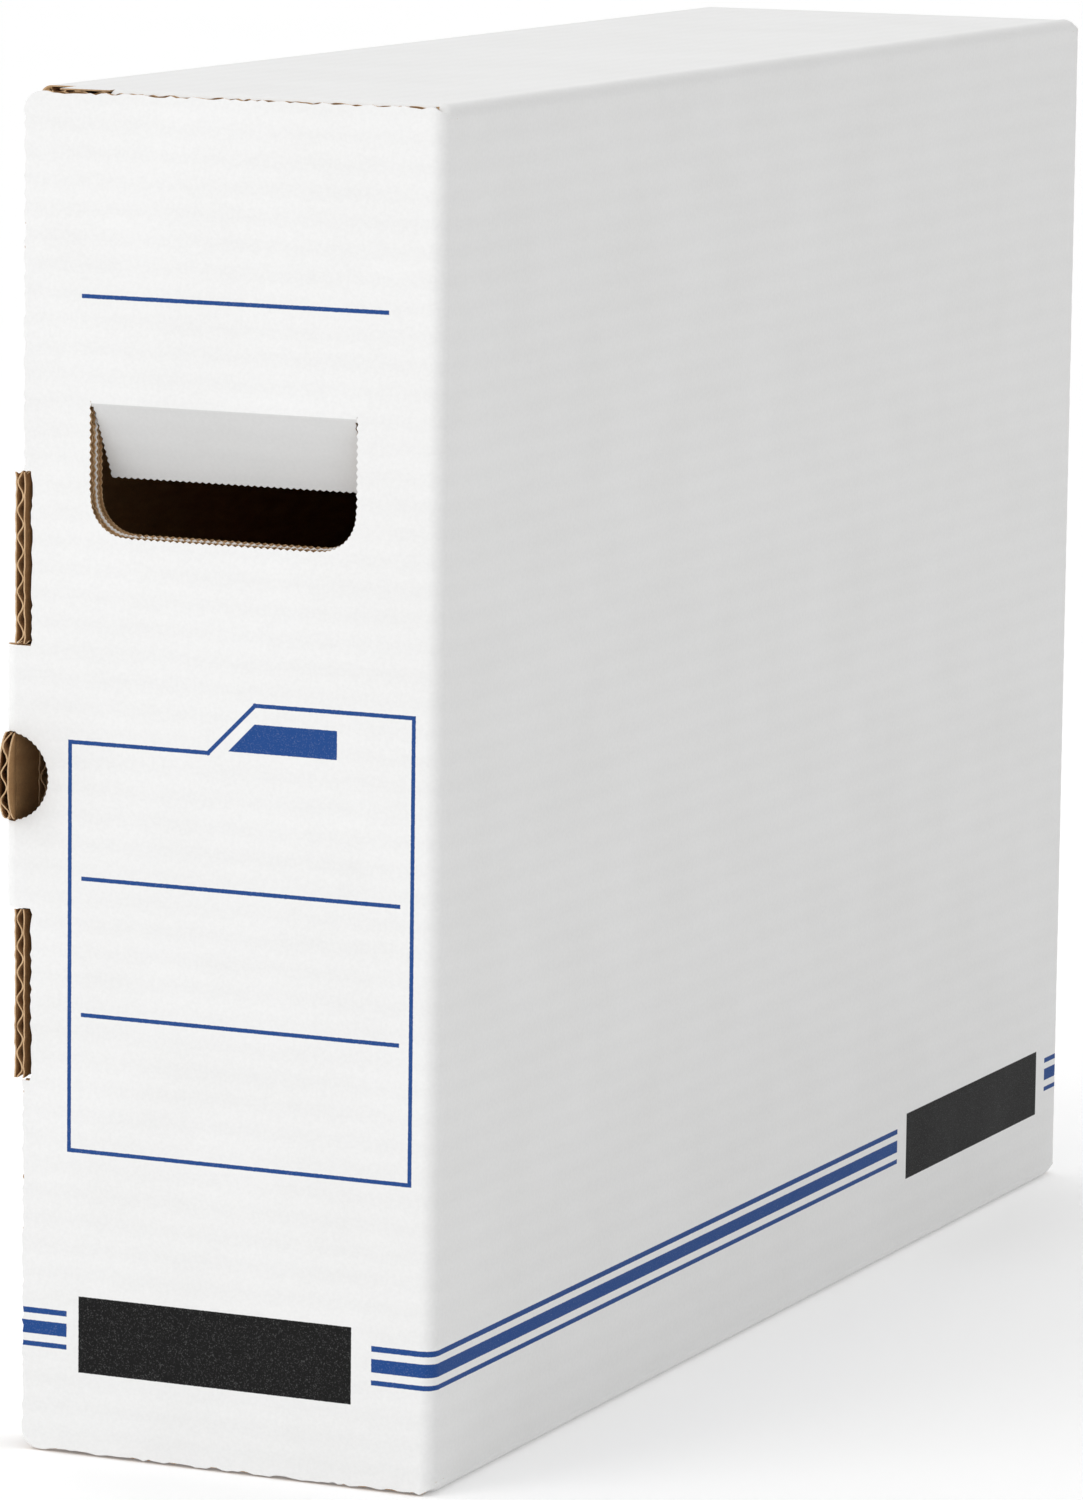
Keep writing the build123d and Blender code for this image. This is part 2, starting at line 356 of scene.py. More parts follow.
def ridges(tree, pitch):
    """A wave from -1 to 1 across the flutes."""
    distance = add(tree, "ShaderNodeAttribute", attribute_name="across").outputs["Fac"]
    return calc(tree, "SINE", calc(tree, "MULTIPLY", distance, 2 * pi / pitch))


def white_liner(name, front_print=False, side_print=False, shade_factor=1.0):
    """A white liner, with the print of its face if asked. shade_factor multiplies its brightness: painted
    shade, below 1 only on the hand flap.
    """
    made, tree, shader, point = new_material(name)
    shader.inputs["Specular IOR Level"].default_value = 0.10
    cloud = noise(tree, point, 28, 4)
    grain = noise(tree, point, 900, 3, 0.6)
    wave = ridges(tree, FLUTE_PITCH)
    cloudiness = calc(tree, "MULTIPLY_ADD", cloud, 1.5, -0.45, clamp=True)
    colour = blend_colour(tree, cloudiness, WHITE, CLOUD)
    fibre = calc(tree, "MULTIPLY_ADD", grain, 0.10 * shade_factor, 0.95 * shade_factor)
    ridge_tone = calc(tree, "MULTIPLY_ADD", wave, 0.006, 1.0)
    tone = calc(tree, "MULTIPLY", fibre, ridge_tone)
    colour = vector_calc(tree, "SCALE", colour, tone)
    if front_print or side_print:
        shake = noise(tree, point, 1400, 2)
        jitter = calc(tree, "MULTIPLY_ADD", shake, 0.22 * MM, -0.11 * MM)
        jitter = add(tree, "ShaderNodeCombineXYZ", {0: jitter, 2: jitter}).outputs[0]
        ragged = vector_calc(tree, "ADD", point, jitter)
        blue = stripes(tree, ragged)
        if front_print:
            blue = calc(tree, "MAXIMUM", blue, line_work(tree, ragged))
        starved = calc(tree, "MULTIPLY_ADD", noise(tree, point, 2600, 2), -0.45, 1.25, clamp=True)
        colour = blend_colour(tree, calc(tree, "MULTIPLY", blue, starved), colour, BLUE_INK)
        dark = calc(tree, "MULTIPLY", plain_blocks(tree, ragged), starved)
        colour = blend_colour(tree, dark, colour, DARK_INK)
    tree.links.new(colour, shader.inputs["Base Color"])
    tree.links.new(calc(tree, "MULTIPLY_ADD", cloud, 0.18, 0.50), shader.inputs["Roughness"])
    height = calc(tree, "MULTIPLY_ADD", wave, WASHBOARD, calc(tree, "MULTIPLY", grain, 0.012 * MM))
    height = calc(tree, "MULTIPLY_ADD", cloud, 0.25 * MM, height)
    bump = add(tree, "ShaderNodeBump", {"Strength": 1.0, "Distance": 1.0, "Height": height})
    tree.links.new(bump.outputs[0], shader.inputs["Normal"])
    return made


plain_liner = white_liner("white_liner")
front_liner = white_liner("white_liner_front_print", front_print=True)
side_liner = white_liner("white_liner_side_print", side_print=True)
# Painted shade: the hand flap's liner is darkened to 0.80 of the white, for the shadow that the pushed-in
# flap lies in.
shaded_flap_liner = white_liner("white_liner_painted_shade", shade_factor=0.80)
liners = (plain_liner, front_liner, side_liner, shaded_flap_liner)
print("white liners:", ", ".join(m.name for m in liners))

# %% [markdown]
# ## The brown papers
# Inside, the board is brown kraft: a smooth liner with streaky fibres, a duller wavy middle
# paper, and the cut edges, which are paler and fuzzy because the die tears the paper a little.
# All three are one recipe with other colours.
# %% Kraft materials


def kraft(name, dark, light, fuzz):
    """A brown paper between two colours, with a rough surface fuzz metres deep."""
    made, tree, shader, point = new_material(name)
    shader.inputs["Specular IOR Level"].default_value = 0.2
    shader.inputs["Roughness"].default_value = 0.85
    streaks = noise(tree, point, 260, 4, 0.6, stretch=(1, 0.25, 1))
    specks = noise(tree, point, 1500, 2, 0.7)
    mix = calc(tree, "MULTIPLY_ADD", streaks, 1.4, -0.2, clamp=True)
    colour = blend_colour(tree, mix, dark, light)
    colour = vector_calc(tree, "SCALE", colour, calc(tree, "MULTIPLY_ADD", specks, 0.5, 0.75))
    tree.links.new(colour, shader.inputs["Base Color"])
    height = calc(tree, "MULTIPLY", calc(tree, "ADD", streaks, specks), fuzz)
    bump = add(tree, "ShaderNodeBump", {"Strength": 1.0, "Distance": 1.0, "Height": height})
    tree.links.new(bump.outputs[0], shader.inputs["Normal"])
    return made


brown_liner = kraft("kraft_liner", (0.34, 0.178, 0.074, 1), (0.52, 0.305, 0.140, 1), 0.03 * MM)
middle_paper = kraft("kraft_middle_paper", (0.30, 0.165, 0.072, 1), (0.46, 0.280, 0.135, 1), 0.04 * MM)
cut_edge = kraft("kraft_cut_edge", (0.44, 0.275, 0.145, 1), (0.70, 0.490, 0.290, 1), 0.08 * MM)
print("kraft papers:", brown_liner.name, middle_paper.name, cut_edge.name)

# %% [markdown]
# ## The outline of a board
# Each CAD board already has the right outline, with its holes, rounded corners and slots. So we
# read it instead of drawing it again: the triangles that lie flat on one face, and the closed
# loops round them. The loop can then be cut anew with the small teeth of a perforating rule,
# where the real one was, and a worn edge gets its rough line.
# %% Read the loops of a board's face
rng = Random(7)


def face_loops(node, out):
    """Closed loops of points round the flat face of a CAD board that looks along out."""
    shape = bmesh.new()
    shape.from_mesh(frame["nodes"][node].data)
    bmesh.ops.remove_doubles(shape, verts=shape.verts, dist=1e-6)
    shape.normal_update()
    flat = [f for f in shape.faces if f.normal.dot(out) > 0.9995]
    level = max(f.verts[0].co.dot(out) for f in flat)
    kept = {f for f in flat if abs(f.verts[0].co.dot(out) - level) < 0.02 * MM}
    steps = {}
    for face in kept:
        for loop in face.loops:
            if sum(f in kept for f in loop.edge.link_faces) == 1:
                steps[loop.vert.index] = (loop.link_loop_next.vert.index, loop.vert.co.copy())
    rings = []
    while steps:
        start = next(iter(steps))
        ring, here = [], start
        while here in steps:
            here, point = steps.pop(here)
            ring.append(point)
        rings.append(ring)
    shape.free()
    return sorted(rings, key=ring_length, reverse=True)


def ring_length(ring):
    return sum((a - b).length for a, b in zip(ring, ring[1:] + ring[:1]))


def cut_edge_of(ring, out, toothed, worn):
    """The ring cut anew: small teeth where toothed(point) says so, a rough cut where worn does."""
    made = []
    for a, b in zip(ring, ring[1:] + ring[:1]):
        made.append(a)
        teeth = toothed((a + b) / 2)
        if not teeth and not worn((a + b) / 2):
            continue
        length = (b - a).length
        steps = 2 * max(1, round(length / TOOTH)) if teeth else round(length / WORN_STEP)
        side = (b - a).cross(out).normalized()
        for i in range(1, steps):
            if teeth:
                shift = TOOTH_DEPTH * (0.5 if i % 2 else -0.5)
            else:
                shift = rng.uniform(-WORN_DEPTH, 0)
            made.append(a.lerp(b, i / steps) + side * shift)
    return made


def long_runs(ring, shortest):
    """Short steps of an arc, taken together until they are long enough to carry teeth."""
    kept = [ring[0]]
    for i, point in enumerate(ring[1:], 1):
        following = ring[(i + 1) % len(ring)]
        if (point - kept[-1]).length >= shortest or (following - point).length >= shortest:
            kept.append(point)
    return kept


def fill(shape, rings, mark, white):
    """Faces that fill the rings, holes left open, marked as white side or brown side."""
    edges = []
    for ring in rings:
        points = [shape.verts.new(p) for p in ring]
        edges += [shape.edges.new(pair) for pair in zip(points, points[1:] + points[:1])]
    done = bmesh.ops.triangle_fill(shape, use_beauty=True, edges=edges)
    faces = [g for g in done["geom"] if isinstance(g, bmesh.types.BMFace)]
    for face in faces:
        face[mark] = white
    return faces


print("front flap has", len(face_loops("front_flap", -Y)), "loops")

# %% [markdown]
# ## Corrugated board, by Geometry Nodes
# A board repeats one wave hundreds of times, which is what Geometry Nodes are good at. The tree
# takes the two flat faces of a board. It thickens each face into a liner, bends a grid into
# waves between them, and keeps the part of the waves that lies inside the outline. So every raw
# edge shows true flutes: waves where the cut crosses them, lines where it runs along them.
# %% Geometry Nodes tree: a corrugated board


def socket(tree, name, kind, default=None):
    """A named input of a Geometry Nodes tree."""
    made = tree.interface.new_socket(name=name, in_out="INPUT", socket_type=kind)
    if default is not None:
        made.default_value = default
    return made


def slab(tree, face, offset):
    """A closed sheet: the face, a copy of it moved by offset, and the walls between them."""
    moved = add(tree, "GeometryNodeExtrudeMesh", {"Mesh": face, "Offset": offset, "Offset Scale": 1.0})
    moved.inputs["Individual"].default_value = False
    base = add(tree, "GeometryNodeFlipFaces", {"Mesh": face}).outputs[0]
    joined = add(tree, "GeometryNodeJoinGeometry")
    tree.links.new(moved.outputs["Mesh"], joined.inputs[0])
    tree.links.new(base, joined.inputs[0])
    merged = add(tree, "GeometryNodeMergeByDistance", {"Geometry": joined.outputs[0], "Distance": 1e-7})
    return merged.outputs[0], moved.outputs["Side"], moved.outputs["Top"]


def painted(tree, geometry, paint, where=None):
    """The geometry with its material set, on all of it or on a selection."""
    inputs = {"Geometry": geometry, "Material": paint}
    if where is not None:
        inputs["Selection"] = where
    return add(tree, "GeometryNodeSetMaterial", inputs).outputs[0]


def board_tree():
    """The Geometry Nodes tree that turns the two flat faces of a board into corrugated board."""
    tree = bpy.data.node_groups.new("corrugated_board", "GeometryNodeTree")
    socket(tree, "Faces", "NodeSocketGeometry")
    for name, default in (("Thickness", BOARD), ("Liner", LINER), ("Paper", MIDDLE_PAPER),
                          ("Pitch", FLUTE_PITCH), ("Length", 0.1), ("Breadth", 0.1)):
        socket(tree, name, "NodeSocketFloat", default)
    socket(tree, "Rows", "NodeSocketInt", 100)
    for name in ("Out", "Along", "Across", "Centre"):
        socket(tree, name, "NodeSocketVector")
    for name in ("White paint", "Brown paint", "Middle paint", "Edge paint"):
        socket(tree, name, "NodeSocketMaterial")
    tree.interface.new_socket(name="Board", in_out="OUTPUT", socket_type="NodeSocketGeometry")
    given = add(tree, "NodeGroupInput").outputs

    is_white = add(tree, "GeometryNodeInputNamedAttribute", {"Name": "white"}, data_type="FLOAT")
    sides = add(tree, "GeometryNodeSeparateGeometry",
                {"Geometry": given["Faces"], "Selection": is_white.outputs[0]}, domain="FACE")
    inwards = vector_calc(tree, "SCALE", given["Out"], calc(tree, "MULTIPLY", given["Liner"], -1.0))
    outwards = vector_calc(tree, "SCALE", given["Out"], given["Liner"])
    through = vector_calc(tree, "SCALE", given["Out"], given["Thickness"])

    parts = []
    for face, offset, paint in ((sides.outputs[0], inwards, given["White paint"]),
                                (sides.outputs[1], outwards, given["Brown paint"])):
        sheet, walls, inner = slab(tree, face, offset)
        sheet = painted(tree, painted(tree, sheet, paint), given["Edge paint"], walls)
        sheet = painted(tree, sheet, given["Brown paint"], inner)
        parts.append(add(tree, "GeometryNodeFlipFaces", {"Mesh": sheet}).outputs[0])

    grid = add(tree, "GeometryNodeMeshGrid", {"Size X": given["Length"], "Size Y": given["Breadth"],
                                              "Vertices X": 2, "Vertices Y": given["Rows"]}).outputs[0]
    place = add(tree, "ShaderNodeSeparateXYZ", {0: add(tree, "GeometryNodeInputPosition").outputs[0]})
    turns = calc(tree, "DIVIDE", calc(tree, "MULTIPLY", place.outputs["Y"], 2 * pi), given["Pitch"])
    room = calc(tree, "SUBTRACT", given["Thickness"], calc(tree, "MULTIPLY", given["Liner"], 2.0))
    swing = calc(tree, "MULTIPLY", calc(tree, "SUBTRACT", room, given["Paper"]), 0.5)
    rise = calc(tree, "SUBTRACT", calc(tree, "MULTIPLY", calc(tree, "SINE", turns), swing),
                calc(tree, "MULTIPLY", given["Paper"], 0.5))
    point = given["Centre"]
    for name, amount in (("Along", place.outputs["X"]), ("Across", place.outputs["Y"]), ("Out", rise)):
        step = vector_calc(tree, "SCALE", given[name], amount)
        point = vector_calc(tree, "ADD", point, step)
    waves = add(tree, "GeometryNodeSetPosition", {"Geometry": grid, "Position": point}).outputs[0]
    paper = slab(tree, waves, vector_calc(tree, "SCALE", given["Out"], given["Paper"]))[0]
    paper = painted(tree, paper, given["Middle paint"])
    mould = slab(tree, sides.outputs[1], through)[0]
    mould = painted(tree, mould, given["Edge paint"])
    mould = add(tree, "GeometryNodeFlipFaces", {"Mesh": mould}).outputs[0]
    cut = add(tree, "GeometryNodeMeshBoolean", operation="INTERSECT", solver="EXACT")
    for mesh in (paper, mould):
        tree.links.new(mesh, cut.inputs["Mesh 2"])
    parts.append(cut.outputs[0])

    joined = add(tree, "GeometryNodeJoinGeometry")
    for part in parts:
        tree.links.new(part, joined.inputs[0])
    where = add(tree, "GeometryNodeInputPosition").outputs[0]
    where = vector_calc(tree, "DOT_PRODUCT", where, given["Across"])
    marked = add(tree, "GeometryNodeStoreNamedAttribute",
                 {"Geometry": joined.outputs[0], "Name": "across", "Value": where},
                 data_type="FLOAT", domain="POINT").outputs[0]
    real = add(tree, "GeometryNodeRealizeInstances", {"Geometry": marked}).outputs[0]
    no_face = add(tree, "FunctionNodeInputBool").outputs[0]
    finished = painted(tree, real, given["Edge paint"], no_face)
    output = add(tree, "NodeGroupOutput")
    tree.links.new(finished, output.inputs[0])
    return tree


corrugated = board_tree()
print("tree", corrugated.name, "has", len(corrugated.nodes), "nodes")

# %% [markdown]
# ## From a CAD board to a finished one
# One function does it for every board: it reads both faces, runs the tree and turns the result
# into a plain mesh that rides on the same body as the CAD board. The smooth shading stops at
# edges sharper than 35 degrees, so waves look round and corners stay crisp. Teeth that would
# stand out beyond the low side of the CAD box are pressed flat against it.
# %% Board maker
SHARP = radians(35)


def finished_mesh(name, holder, body, stands_for):
    """The evaluated mesh of holder as a new plain piece."""
    depsgraph = bpy.context.evaluated_depsgraph_get()
    mesh = bpy.data.meshes.new_from_object(holder.evaluated_get(depsgraph), depsgraph=depsgraph)
    bpy.data.objects.remove(holder)
    return piece_of(name, mesh, body, stands_for)


def piece_of(name, mesh, body, stands_for=()):
    """A piece with that mesh, smooth but for its sharp edges, riding on a body."""
    mesh.name = name
    mesh.shade_smooth()
    mesh.set_sharp_from_angle(angle=SHARP)
    piece = bpy.data.objects.new(name, mesh)
    bpy.context.scene.collection.objects.link(piece)
    if body:
        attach(piece, body)
    if stands_for:
        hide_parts(*stands_for)
    return piece


def put(modifier, name, value):
    """Sets a tree's input by its identifier."""
    item = next(i for i in corrugated.interface.items_tree if i.name == name and i.in_out == "INPUT")
    modifier[item.identifier] = value


def nowhere(point):
    """The default for teeth and wear: no point has them."""
    return False


def make_board(name, node, out, along, paint, toothed=nowhere, worn=nowhere):
    """The finished board of a CAD node. out is its white side, along the way its flutes run."""
    shape = bmesh.new()
    mark = shape.faces.layers.float.new("white")
    white_rings, brown_rings = face_loops(node, out), face_loops(node, -out)
    for rings, white, way in ((white_rings, 1.0, out), (brown_rings, 0.0, -out)):
        if toothed is not nowhere or worn is not nowhere:
            rings = [long_runs(ring, TOOTH * 0.6) for ring in rings]
            rings = [cut_edge_of(ring, way, toothed, worn) for ring in rings]
        for face in fill(shape, rings, mark, white):
            if face.normal.dot(way) < 0:
                face.normal_flip()
    corners = [p for ring in brown_rings for p in ring]
    cross = out.cross(along)
    spans = []
    for way in (along, cross):
        reach = [p.dot(way) for p in corners]
        spans.append((min(reach), max(reach)))
    depth = brown_rings[0][0].dot(out) + BOARD / 2
    length, breadth = (high - low + 2 * FLUTE_PITCH for low, high in spans)
    whole_waves = round(sum(spans[1]) / 2 / FLUTE_PITCH)
    centre = along * sum(spans[0]) / 2 + cross * whole_waves * FLUTE_PITCH
    centre += out * depth
    breadth += FLUTE_PITCH
    mesh = bpy.data.meshes.new(name)
    shape.to_mesh(mesh)
    shape.free()
    holder = bpy.data.objects.new(name + "_faces", mesh)
    bpy.context.scene.collection.objects.link(holder)
    modifier = holder.modifiers.new("board", "NODES")
    modifier.node_group = corrugated
    rows = round(breadth / FLUTE_PITCH * WAVE_STEPS) + 1
    for key, value in (("Length", length), ("Breadth", breadth), ("Rows", rows), ("Out", out),
                       ("Along", along), ("Across", cross), ("Centre", centre),
                       ("White paint", paint), ("Brown paint", brown_liner),
                       ("Middle paint", middle_paper), ("Edge paint", cut_edge)):
        put(modifier, key, value)
    body = frame["nodes"][node]["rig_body"]
    piece = finished_mesh(name, holder, body, (node,))
    for vertex in piece.data.vertices:
        vertex.co = [max(v, low) for v, low in zip(vertex.co, cad_low)]
    print(f"{name:22s} {len(piece.data.polygons):6d} faces, {len(white_rings)} loops")


print("board maker ready, edges sharper than", round(SHARP * 180 / pi), "degrees stay crisp")

# %% [markdown]
# ## All the boards
# The flutes run the long way round the carton, so they lie along Y in its four sides, along X
# in the flaps at the ends and upright in the flaps that fold down from the top. Teeth are only
# where the die perforates: round the hand hole, on the hand flap's cut sides, on the thumb cut and
# on the half-moon that stays in it. The raw edges that hands rub are worn.
# %% Where edges are toothed or worn
THUMB_AT = Vector((TAB_FACE + BOARD / 2, 0, TOP / 2))
THUMB_RADIUS = 13.2 * MM
hole_low, hole_high = Vector((-44.5, 0, 271.0)) * MM, Vector((42.5, 0, 313.0)) * MM
BESIDE_CREASE = 3 * MM
SETBACK = 15 * MM


def round_thumb_or_hand(point):
    """True on the thumb cut and round the hand hole, except along the hand flap's crease."""
    thumb = hypot(point.x - THUMB_AT.x, point.z - THUMB_AT.z) < THUMB_RADIUS + 0.8 * MM
    beside = hole_low.x < point.x < hole_high.x
    return thumb or (beside and hole_low.z < point.z < hole_high.z - BESIDE_CREASE)


def below_crease(point):
    """True on the hand flap's cut sides and its lower edge."""
    return point.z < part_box("handle_flap")[1].z - BESIDE_CREASE


def free_edge(point):
    """True on the front flap's raw edges: its top, its bottom and its left edge."""
    high_or_low = point.z > front_high.z - 0.2 * MM or point.z < front_low.z + 0.2 * MM
    on_tab = tab_low.z - MM < point.z < tab_high.z + MM
    return high_or_low or (point.x < LEFT + 6 * MM and not on_tab)


def near_the_front(point):
    """True on the raw front edge of the left side, ears included."""
    return point.y < FRONT + SETBACK + 0.5 * MM


def past_the_fold(point):
    """True on the lock tab's free edges, behind its fold."""
    return point.y > FRONT + 5 * MM


def everywhere(point):
    return True


print("thumb cut", round(THUMB_RADIUS / MM, 1), "mm in radius, hand hole",
      round((hole_high - hole_low).x / MM), "mm wide with its margin")

# %% [markdown]
# The half-moon of the thumb cut leans out from the tab and the hand flap is pushed in. Their faces
# look along their own directions, which the board maker needs to know.
# %% Make the boards
LEAN = radians(17.0)
PUSHED = radians(25.0)
moon_out = Vector((-cos(LEAN), -sin(LEAN), 0))
moon_along = Vector((sin(LEAN), -cos(LEAN), 0))
flap_out = Vector((0, -cos(PUSHED), -sin(PUSHED)))

make_board("right_side_board", "right_side", X, Y, side_liner)
make_board("left_side_board", "left_side", -X, Y, side_liner, worn=near_the_front)
make_board("top_side_board", "top_side", Z, Y, plain_liner)
make_board("bottom_side_board", "bottom_side", -Z, Y, plain_liner)
make_board("glued_lap_board", "glued_lap", -X, Y, plain_liner)
make_board("back_outer_board", "back_outer_flap", Y, X, side_liner)
make_board("back_inner_board", "back_inner_flap", Y, X, plain_liner)
make_board("back_top_board", "back_top_flap", Y, Z, plain_liner)
make_board("back_bottom_board", "back_bottom_flap", Y, Z, plain_liner)
make_board("front_flap_board", "front_flap", -Y, X, front_liner, round_thumb_or_hand, free_edge)
make_board("lock_tab_board", "lock_tab", -X, Y, side_liner, worn=past_the_fold)
make_board("half_moon_board", "lock_tab", moon_out, moon_along, plain_liner, everywhere)
# The hand flap wears the liner with painted shade.
make_board("handle_flap_board", "handle_flap", flap_out, X, shaded_flap_liner, below_crease)
make_board("top_inner_board", "top_inner_flap", -Y, Z, plain_liner, round_thumb_or_hand)
make_board("bottom_inner_board", "bottom_inner_flap", -Y, Z, plain_liner)

# %% [markdown]
# ## Creases
# Between two boards the sheet is crushed along a line and bent round it. A fold that stays put
# is a thick quarter ring of board. A fold that moves is a thin skin, which bends with the joint:
# its two edges follow the two boards and the middle turns half as far. A real crease is never
# quite even, so each one is dented a little where flutes cross it.
# %% Crease maker
ARC_STEPS = 12
CREASE_STEP = 2.0 * MM
CAP = 5.0 * MM
DENT = 0.10 * MM
CAP_SLOPE = 2.1 * MM
FLATTEST = 0.35
KNOT_EVERY = 6


def waver(count, size):
    """Smooth random offsets along a crease."""
    knots = [rng.uniform(-size, size) for _ in range(count // KNOT_EVERY + 3)]
    made = []
    for i in range(count):
        k, t = divmod(i / KNOT_EVERY, 1)
        t = t * t * (3 - 2 * t)
        made.append(knots[int(k)] * (1 - t) + knots[int(k) + 1] * t)
    return made


def raw_end(shape, ring, ends):
    """Closes a ring at its end: two liners with the darker middle paper between them. It returns
    the points that this adds to the ring's two straight sides."""
    size = len(ring)
    half = size // 2
    value = shape.verts.layers.float["across"]
    layers = [ring[:half]]
    for share in (0.14, 0.86):
        layer = []
        for k in range(half):
            outer, inner = ring[k], ring[size - 1 - k]
            layer.append(shape.verts.new(outer.co.lerp(inner.co, share)))
            layer[-1][value] = outer[value]
        layers.append(layer)
    layers.append(ring[:half - 1:-1])
    for i, (first, second) in enumerate(zip(layers, layers[1:])):
        for k in range(half - 1):
            face = shape.faces.new((first[k], first[k + 1], second[k + 1], second[k]))
            face.material_index = 2 if ends and i == 1 else ends
    return {half - 1: [layers[1][-1], layers[2][-1]], size - 1: [layers[2][0], layers[1][0]]}


def crease_mesh(name, corner, run, length, first, second, paint, across, hollow, trim, squash,
                ends):
    """A quarter ring round a fold. corner is where the two outer faces would meet, first and
    second point from it along the two boards, and run is the way along the fold. A hollow one is
    a thin skin. trim and squash shape the ends, and ends is their material: 0 white, 1 raw."""
    centre = corner + (first + second) * FOLD
    count = max(2, round(length / CREASE_STEP)) + 1
    offsets = waver(count, DENT * 0.5)
    rings = []
    shape = bmesh.new()
    value = shape.verts.layers.float.new("across")
    for i in range(count):
        s = length * i / (count - 1)
        ring = []
        at_end = i in (0, count - 1)
        inner_radius = FOLD - LINER if hollow and not at_end else FOLD - BOARD
        for radius, steps in ((FOLD, range(ARC_STEPS + 1)),
                              (inner_radius, range(ARC_STEPS, -1, -1))):
            for k in steps:
                angle = pi / 2 * k / ARC_STEPS
                spoke = -(second * cos(angle) + first * sin(angle) * squash(s, length))
                dent = offsets[i] * sin(2 * angle)
                if radius == FOLD and abs(run.dot(across)) > 0.5:
                    dent -= DENT * (0.5 + 0.5 * cos(2 * pi * s / FLUTE_PITCH)) * sin(2 * angle)
                place = centre + spoke * (radius + min(0, dent)) + run * trim(s, length, angle)
                point = shape.verts.new(place)
                point[value] = point.co.dot(across)
                ring.append(point)
        rings.append(ring)
    size = len(rings[0])
    extra = {0: raw_end(shape, rings[0], ends), count - 1: raw_end(shape, rings[-1], ends)}
    for i in range(count - 1):
        near, far = rings[i], rings[i + 1]
        for k in range(size):
            there = [near[k]] + extra.get(i, {}).get(k, []) + [near[(k + 1) % size]]
            back = [far[(k + 1) % size]] + extra.get(i + 1, {}).get(k, [])[::-1] + [far[k]]
            face = shape.faces.new(there + back)
            face.material_index = 0 if k < ARC_STEPS else 1
    bmesh.ops.recalc_face_normals(shape, faces=shape.faces)
    mesh = bpy.data.meshes.new(name)
    shape.to_mesh(mesh)
    shape.free()
    for material in (paint, cut_edge, middle_paper):
        mesh.materials.append(material)
    return mesh


def straight_trim(s, length, angle):
    """Both ends cut square."""
    return s


def sloped_trim(s, length, angle):
    """An upright fold ends in a slope, lower on the big side than on the flap."""
    slope = CAP_SLOPE * cos(angle)
    return slope + (length - 2 * slope) * s / length


def round_all_along(s, length):
    """No squashing."""
    return 1.0


def drooping_ends(s, length):
    """A long fold is crushed flat where the slots beside it end it."""
    share = min(1.0, min(s, length - s) / CAP)
    return FLATTEST + (1 - FLATTEST) * sqrt(1 - (1 - share) ** 2)


def fixed_crease(name, corner, end, first, second, paint, across, trim=straight_trim,
                 squash=round_all_along, ends=1):
    """A thick fold between two boards that stay put."""
    run = end - corner
    mesh = crease_mesh(name, corner, run.normalized(), run.length, first, second, paint, across,
                       False, trim, squash, ends)
    piece_of(name, mesh, "carton")
    print(f"{name:22s} {run.length / MM:6.1f} mm long")


def moving_crease(name, corner, end, first, second, paint, across, bodies, trim=straight_trim,
                  ends=1):
    """A thin fold that bends with the joint between two bodies."""
    run = end - corner
    mesh = crease_mesh(name, corner, run.normalized(), run.length, first, second, paint, across,
                       True, trim, round_all_along, ends)
    piece = piece_of(name, mesh, None)
    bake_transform(piece, *bodies, start=tuple(corner + first * FOLD), end=tuple(corner + second * FOLD))
    print(f"{name:22s} {run.length / MM:6.1f} mm long, bends")


print("crease maker ready, folds have a radius of", round(FOLD / MM, 1), "mm")

# %% [markdown]
# Now every fold of the carton, each named by the two boards that it joins. Upright folds on the
# right end in a slope and the long ones beside them droop, so that no slot is left open.
# %% Make the folds that stay put
inner_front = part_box("top_inner_flap")[0].y
lap_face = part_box("glued_lap")[0].x
inner_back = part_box("back_inner_flap")[1].y
end_flap_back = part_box("back_top_flap")[1].y
long_end = 254.6 * MM
slot_end = -242.5 * MM
left_end = 245.9 * MM
slot_wide = 4.2 * MM


def at(x, y, z):
    return Vector((x, y, z))


fixed_crease("crease_right_top", at(RIGHT, -long_end, TOP), at(RIGHT, long_end, TOP), -Z, -X,
             side_liner, Z, squash=drooping_ends, ends=0)
fixed_crease("crease_right_bottom", at(RIGHT, -long_end, 0), at(RIGHT, long_end, 0), Z, -X,
             side_liner, Z, squash=drooping_ends, ends=0)
fixed_crease("crease_left_top", at(LEFT, slot_end, TOP), at(LEFT, left_end, TOP), -Z, X,
             side_liner, Z)
fixed_crease("crease_lap_bottom", at(lap_face, slot_end, 0), at(lap_face, end_flap_back, 0), Z, X,
             plain_liner, Z)
back_low, back_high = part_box("back_outer_flap")
fixed_crease("crease_back_right", at(RIGHT, BACK, back_low.z), at(RIGHT, BACK, back_high.z), -Y, -X,
             side_liner, Z, trim=sloped_trim, ends=0)
fixed_crease("crease_back_left", at(LEFT, inner_back, slot_wide),
             at(LEFT, inner_back, TOP - slot_wide), -Y, X, side_liner, Z)
back_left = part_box("back_top_flap")[0].x
back_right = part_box("back_top_flap")[1].x
fixed_crease("crease_back_top", at(back_left, end_flap_back, TOP), at(back_right, end_flap_back, TOP),
             -Y, -Z, plain_liner, X)
fixed_crease("crease_back_bottom", at(back_left, end_flap_back, 0), at(back_right, end_flap_back, 0),
             -Y, Z, plain_liner, X)

